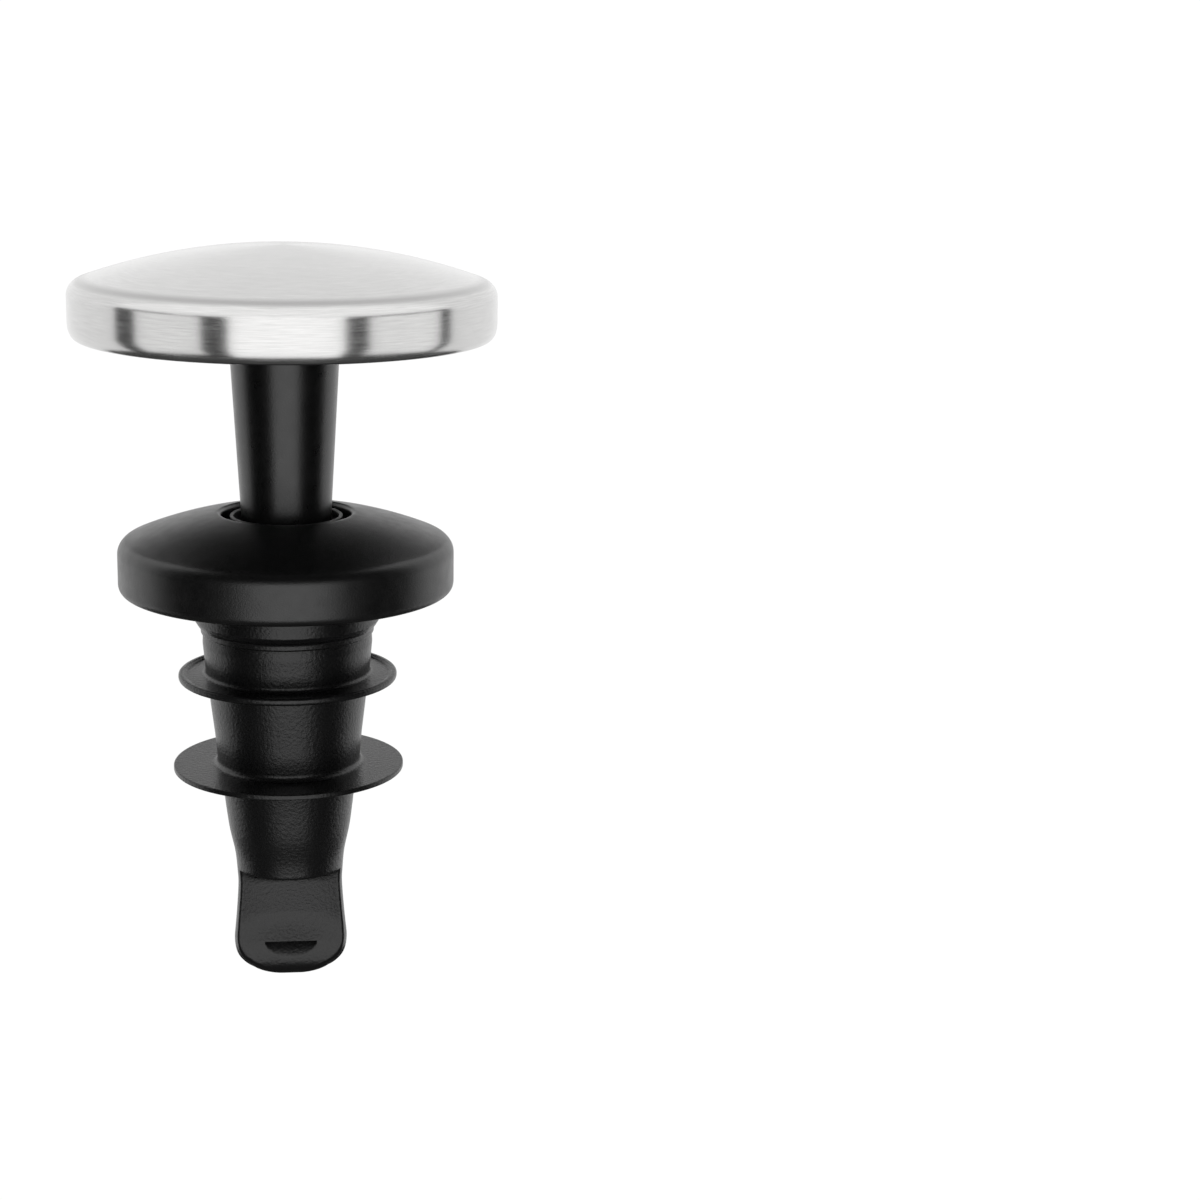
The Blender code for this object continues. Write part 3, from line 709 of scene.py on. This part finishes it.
def make_tube():
    """Rigid pour tube with its flange and spoked guide hub."""
    _, end, top = reach("pour_tube")
    body, tip, bore = 6.6, 4.6, 3.6
    flange, flange_bottom, flange_top = 11.0, 1.8, 2.9
    lip_seat = 3.2
    profile = [(7.2, top, 0.2), (7.2, flange_top, 0.3), (flange, flange_top, 0.3)]
    profile += [(flange, flange_bottom, 0.2), (body, flange_bottom, 0.2), (body, -12.0, 1.0)]
    profile += [(tip, -27.0, 1.0), (tip, end, 0.3), (bore, end, 0.2), (bore, -17.5, 1.0)]
    profile += [(4.9, -15.0, 1.0), (5.1, -10.0), (5.65, lip_seat, 0.1), (6.5, lip_seat, 0.1)]
    profile += [(6.5, top, 0.15)]
    tube = lathe("pour_tube_fine", rounded(profile, closed=True), segments=MEDIUM)
    hub_outer, hub_top, hub_bottom = 3.7, -10.8, -14.15
    bush_room, bush_floor, rod_hole = 2.95, -13.0, 2.1
    hub_profile = [(hub_outer, hub_top, 0.2), (hub_outer, hub_bottom, 0.2), (rod_hole, hub_bottom)]
    hub_profile += [(rod_hole, bush_floor), (bush_room, bush_floor), (bush_room, hub_top)]
    hub = lathe("hub", rounded(hub_profile, closed=True), segments=SMALL)
    spoke_size = (2.3, 1.3, 2.4)
    spoke_centre = (4.45, 0.0, 0.5 * (hub_top + hub_bottom))
    for index in range(3):
        turn = math.tau * (index + 0.25) / 3
        boolean(hub, box_solid("spoke", spoke_size, spoke_centre, turn), "UNION")
    boolean(tube, hub, "UNION")
    crease(tube)
    piece(tube, INNER_BLACK, "spout", "pour_tube")


def make_small_rings():
    """Nut, bush and washers with softened edges, and two O-rings."""
    def softened(name, node, inner, edge, material, body):
        outer, bottom, top = reach(node)
        corners = [(outer, top, edge), (outer, bottom, edge), (inner, bottom, edge), (inner, top, edge)]
        ring = lathe(name, rounded(corners, closed=True), segments=SMALL)
        crease(ring)
        piece(ring, material, body, node)

    softened("clamp_nut", "tube_nut", 6.9, 0.3, INNER_BLACK, "spout")
    softened("cap_washer_fine", "cap_washer", 1.6, 0.1, FASTENER, "stopper")
    softened("rod_washer", "stop_washer", 1.1, 0.1, FASTENER, "rod_stop")
    outer, bottom, top = reach("guide_bush")
    sleeve, shoulder, bore = 2.7, bottom + 1.3, 1.88
    corners = [(outer, top, 0.15), (outer, shoulder, 0.1), (sleeve, shoulder, 0.05)]
    corners += [(sleeve, bottom, 0.1), (bore, bottom, 0.1), (bore, top, 0.15)]
    bush = lathe("rod_bush", rounded(corners, closed=True), segments=SMALL)
    crease(bush)
    piece(bush, INNER_BLACK, "spout", "guide_bush")
    for name, node in (("rod_seal", "rod_o_ring"), ("flange_seal", "flange_o_ring")):
        outer, bottom, top = reach(node)
        section = 0.5 * (top - bottom)
        loop = arc((outer - section, 0.5 * (top + bottom)), (section, section), 0.0, -345.0, 24)
        piece(lathe(name, loop, segments=SMALL), SEAL, "spout", node)


def make_screw(name, node, head, shank, upwards):
    """Pan-head screw with a rolled thread and a cross recess."""
    _, bottom, top = reach(node)
    low, high = (bottom, top) if upwards else (-top, -bottom)
    head_height = 1.4 if upwards else 1.1
    seat = high - head_height
    profile = [(0.0, high), (head, high, 0.45), (head, seat, 0.1), (shank, seat, 0.1)]
    pitch = 0.5
    thread_top = seat - 0.3
    count = int((thread_top - low - shank) / pitch)
    for turn in range(count):
        height = thread_top - turn * pitch
        profile += [(shank, height, 0.02), (0.8 * shank, height - 0.5 * pitch, 0.02)]
    profile += [(shank, low + shank, 0.05), (0.0, low)]
    screw = lathe(name, rounded(profile), closed=False, segments=SMALL)
    for size in ((1.1 * head, 0.3 * head), (0.3 * head, 1.1 * head)):
        cutter = box_solid("recess", (*size, head_height), (0.0, 0.0, high))
        boolean(screw, cutter, "DIFFERENCE")
    if not upwards:
        screw.data.transform(Matrix.Rotation(math.pi, 4, "X"))
    crease(screw)
    piece(screw, FASTENER, "stopper", node)


# ------------------------------------------------------------------ studio

MIRRORED_ONLY = ("visible_camera", "visible_diffuse", "visible_shadow", "visible_transmission")


def emission(name, strength):
    """A plain light-giving material."""
    material = bpy.data.materials.new(name)
    material.use_nodes = True
    tree = material.node_tree
    tree.nodes.clear()
    glow = tree.nodes.new("ShaderNodeEmission")
    glow.inputs["Strength"].default_value = strength
    out = tree.nodes.new("ShaderNodeOutputMaterial")
    tree.links.new(glow.outputs["Emission"], out.inputs["Surface"])
    return material


def card(name, start, end, low, high, distance, strength, far=None, receivers=None):
    """A curved studio card around the axis, seen only in reflections.

    Angles are in degrees from the front (-Y), positive towards +X. The card leans when
    its upper edge is at another distance, far. With receivers it lights only those
    objects, and is dark to the others.
    """
    angles = np.radians(np.linspace(start, end, 13))
    edges = ((far or distance, high), (distance, low))
    rings = [[(away * math.sin(a), -away * math.cos(a), z) for a in angles] for away, z in edges]
    vertices = [point for ring in rings for point in ring]
    count = len(angles)
    faces = [(i, i + 1, count + i + 1, count + i) for i in range(count - 1)]
    mesh = bpy.data.meshes.new(name)
    mesh.from_pydata(vertices, [], faces)
    mesh.materials.append(emission(name, strength))
    obj = bpy.data.objects.new(name, mesh)
    bpy.context.scene.collection.objects.link(obj)
    for ray in MIRRORED_ONLY:
        setattr(obj, ray, False)
    if receivers is not None:
        obj.light_linking.receiver_collection = receivers


def low_flag():
    """A dark ring on the floor, which darkens what the hem and the fins mirror from below."""
    height = -245.0
    angles = np.arange(SMALL) * math.tau / SMALL
    rings = [[(radius * math.cos(a), radius * math.sin(a), height) for a in angles]
             for radius in (1.0, 400.0)]
    flag = grid_mesh("low_flag", rings)
    flag.data.materials.append(emission("low_flag_glow", 0.06))
    for ray in MIRRORED_ONLY:
        setattr(flag, ray, False)


def make_studio():
    """Pale floor, white surroundings, a front light, dark flags and cards for the steel alone."""
    scene = bpy.context.scene
    scene.view_settings.view_transform = "Standard"
    world = bpy.data.worlds.new("studio")
    world.use_nodes = True
    background = world.node_tree.nodes["Background"]
    background.inputs["Color"].default_value = (1.0, 1.0, 1.0, 1.0)
    background.inputs["Strength"].default_value = 1.05
    scene.world = world

    floor_z = -0.25
    floor_half_width = 30.0
    mesh = bpy.data.meshes.new("floor")
    shape = bmesh.new()
    bmesh.ops.create_grid(shape, x_segments=1, y_segments=1, size=floor_half_width)
    bmesh.ops.translate(shape, vec=(0.0, 0.0, floor_z), verts=shape.verts)
    shape.to_mesh(mesh)
    shape.free()
    floor = bpy.data.objects.new("floor", mesh)
    scene.collection.objects.link(floor)
    paper = bpy.data.materials.new("pale_floor")
    paper.use_nodes = True
    shader = paper.node_tree.nodes["Principled BSDF"]
    shader.inputs["Base Color"].default_value = (0.97, 0.97, 0.97, 1.0)
    shader.inputs["Roughness"].default_value = 1.0
    shader.inputs["Specular IOR Level"].default_value = 0.0
    mesh.materials.append(paper)

    steel_only = bpy.data.collections.new("steel_only")
    steel_only.objects.link(bpy.data.objects["steel_cap"])
    card("front_light", -28.5, 31.0, -0.24, 0.12, 0.34, 1.5)
    card("flags", -96.0, 96.0, -0.24, 0.14, 0.36, 0.03)
    card("front_sky", -100.0, 100.0, 0.12, 0.45, 0.34, 1.3, far=0.06, receivers=steel_only)
    card("side_light_left", -80.0, -41.5, -0.09, 0.06, 0.20, 1.1, receivers=steel_only)
    card("side_light_right", 42.5, 86.0, -0.09, 0.06, 0.20, 1.15, receivers=steel_only)
    card("back_wall", 150.0, 210.0, 0.20, 0.94, 0.50, 1.05, receivers=steel_only)
    low_flag()


def make_camera():
    """Camera a little above the spout, which stands left of the frame's middle."""
    elevation = math.radians(13.6)
    sensor_width = 36.0
    focal_length = 75.0
    sensor_offset = 9.381
    lean = math.radians(0.62)
    distance = 0.2665
    target = Vector((0.0, 0.0, -0.00135))
    look = Vector((0.0, math.cos(elevation), -math.sin(elevation)))
    right = Vector((1.0, 0.0, 0.0))
    up = right.cross(look)
    rolled_right = right * math.cos(lean) - up * math.sin(lean)
    rolled_up = up * math.cos(lean) + right * math.sin(lean)
    turn = math.atan(sensor_offset / focal_length)
    forward = look * math.cos(turn) + rolled_right * math.sin(turn)
    sideways = rolled_right * math.cos(turn) - look * math.sin(turn)
    place = Matrix((sideways, rolled_up, -forward)).transposed().to_4x4()
    place.translation = target - look * distance
    data = bpy.data.cameras.new("camera")
    data.sensor_width = sensor_width
    data.lens = focal_length
    data.clip_start = 0.01
    data.clip_end = 100.0
    camera = bpy.data.objects.new("camera", data)
    bpy.context.scene.collection.objects.link(camera)
    camera.matrix_world = place
    bpy.context.scene.camera = camera


make_cap()
make_stem()
make_collar()
make_plug()
make_tube()
make_small_rings()
make_screw("cap_screw_fine", "cap_screw", 2.6, 1.2, True)
make_screw("stop_screw_fine", "stop_screw", 1.9, 0.75, False)
make_studio()
make_camera()
